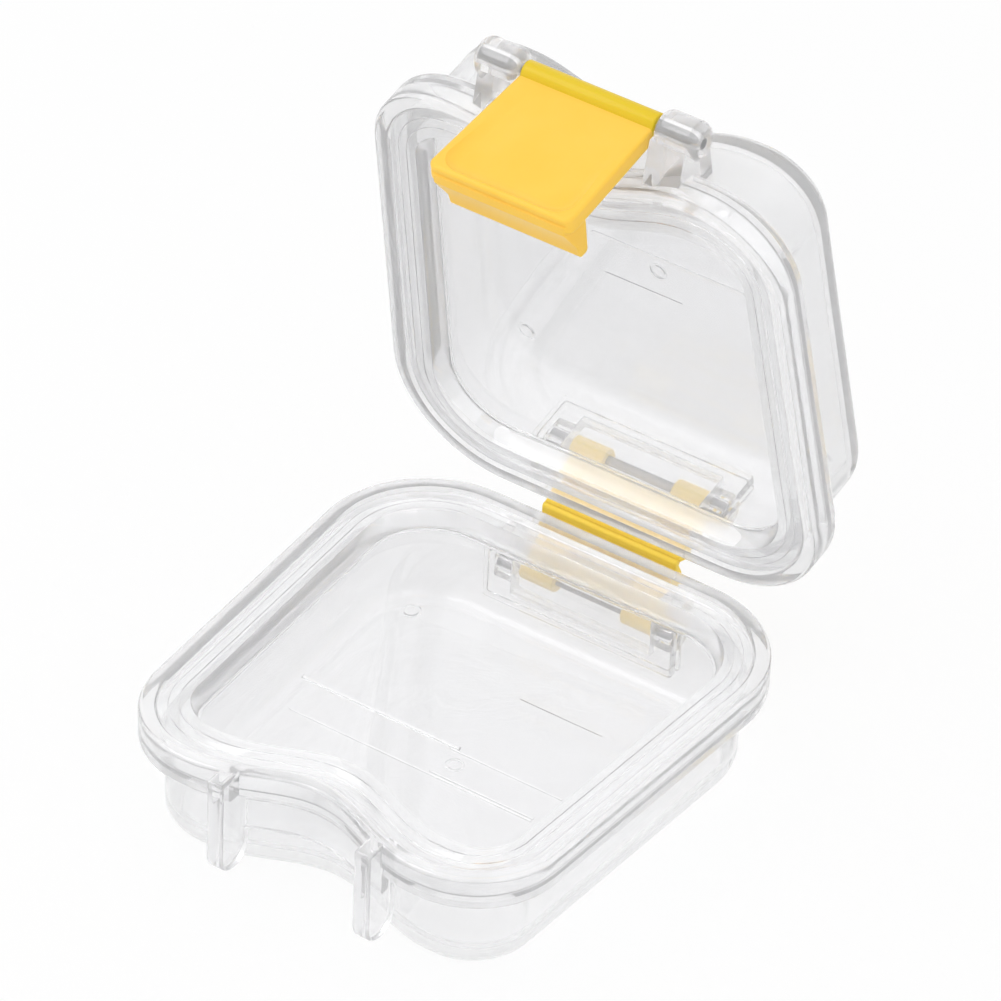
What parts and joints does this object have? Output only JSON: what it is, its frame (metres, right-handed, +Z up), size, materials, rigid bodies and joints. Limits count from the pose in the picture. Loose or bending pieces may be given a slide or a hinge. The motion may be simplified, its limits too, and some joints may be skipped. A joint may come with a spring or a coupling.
{
  "type": "denture case",
  "caption": "Clear clam-shell case with stretched elastic films, a yellow folding hinge strip at the back and a yellow hooked latch in front",
  "frame": {"origin": "middle of the flat underside of the base, on the surface it stands on", "axes": "+X across the case, +Y from the latch towards the hinge, +Z up"},
  "size_m": [0.0618, 0.0824, 0.0885],
  "materials": {
    "clear_shell": "clear moulded, polished",
    "clear_frame": "clear moulded, polished",
    "clear_film": "clear stretched film with a few creases",
    "steel": "bright drawn wire",
    "yellow_plastic": "semi-gloss moulded"
  },
  "bodies": {
    "base": {"base_shell": "clear_shell", "base_film_frame": "clear_frame", "base_film": "clear_film", "base_hinge_pin": "steel", "hinge_base_leaf": "yellow_plastic"},
    "lid": {"lid_shell": "clear_shell", "lid_film_frame": "clear_frame", "lid_film": "clear_film", "lid_hinge_pin": "steel", "latch_pin": "steel", "hinge_lid_leaf": "yellow_plastic"},
    "latch": {"latch": "yellow_plastic"}
  },
  "joints": [
    {"name": "lid_hinge", "type": "hinge", "parent": "base", "child": "lid", "pos_m": [0, 0.0334, 0.01655], "axis": [-1, 0, 0], "range_deg": [-77.5, 42.5]},
    {"name": "latch_hinge", "type": "hinge", "parent": "lid", "child": "latch", "pos_m": [0, 0.0241, 0.08598], "axis": [-1, 0, 0], "range_deg": [-3, 112]}
  ]
}
